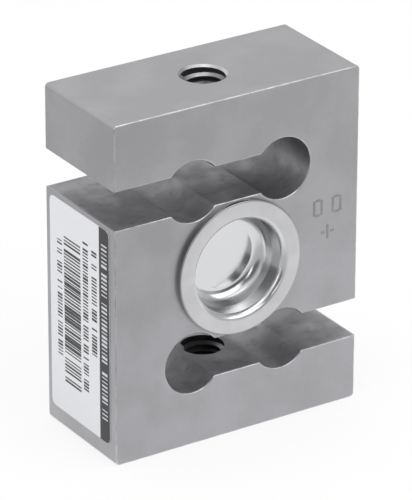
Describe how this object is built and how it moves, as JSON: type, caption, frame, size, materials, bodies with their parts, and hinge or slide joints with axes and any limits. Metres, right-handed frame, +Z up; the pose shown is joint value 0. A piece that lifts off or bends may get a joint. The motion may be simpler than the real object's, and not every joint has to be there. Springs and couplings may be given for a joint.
{
  "type": "s type load cell",
  "caption": "S-shaped stainless spring body with threaded ends, slots with round reliefs, sealed gauge chamber and side label.",
  "frame": {"origin": "mouth of the lower threaded hole, at the centre of the face the cell stands on", "axes": "+Z up the load axis to the upper threaded hole, -Y out of the front cup, -X out of the labelled side"},
  "size_m": [0.0539, 0.025, 0.0652],
  "materials": {
    "body_steel": "satin ground stainless steel",
    "cup_steel": "polished stainless steel, satin on the flange",
    "label": "printed polyester film",
    "gauge_foil": "polyimide backing with a metal foil grid",
    "lead_wire": "enamelled wire",
    "pad": "silicone adhesive pad",
    "board": "glass-fibre circuit board",
    "resistor": "moulded chip resistor",
    "pin": "gold-plated pin",
    "header_glass": "sealing glass",
    "gland_steel": "turned stainless steel",
    "seal_rubber": "black nitrile rubber"
  },
  "bodies": {
    "root": {"spring_body": "body_steel", "front_cup": "cup_steel", "rear_cup": "cup_steel", "side_label": "label", "strain_gauge_1": "gauge_foil", "strain_gauge_2": "gauge_foil", "strain_gauge_3": "gauge_foil", "strain_gauge_4": "gauge_foil", "gauge_lead_1_a": "lead_wire", "gauge_lead_1_b": "lead_wire", "gauge_lead_2_a": "lead_wire", "gauge_lead_2_b": "lead_wire", "gauge_lead_3_a": "lead_wire", "gauge_lead_3_b": "lead_wire", "gauge_lead_4_a": "lead_wire", "gauge_lead_4_b": "lead_wire", "board_pad": "pad", "bridge_board": "board", "zero_balance_resistor": "resistor", "zero_temperature_resistor": "resistor", "span_resistor_upper": "resistor", "span_resistor_lower": "resistor", "trim_resistor": "resistor", "signal_lead_1": "lead_wire", "signal_lead_2": "lead_wire", "signal_lead_3": "lead_wire", "signal_lead_4": "lead_wire", "header_pin_1": "pin", "header_pin_2": "pin", "header_pin_3": "pin", "header_pin_4": "pin", "header_glass": "header_glass", "header_shell": "gland_steel", "gland_body": "gland_steel", "gland_gasket": "seal_rubber", "gland_grommet": "seal_rubber", "gland_washer": "gland_steel", "gland_screw": "gland_steel"}
  },
  "joints": []
}
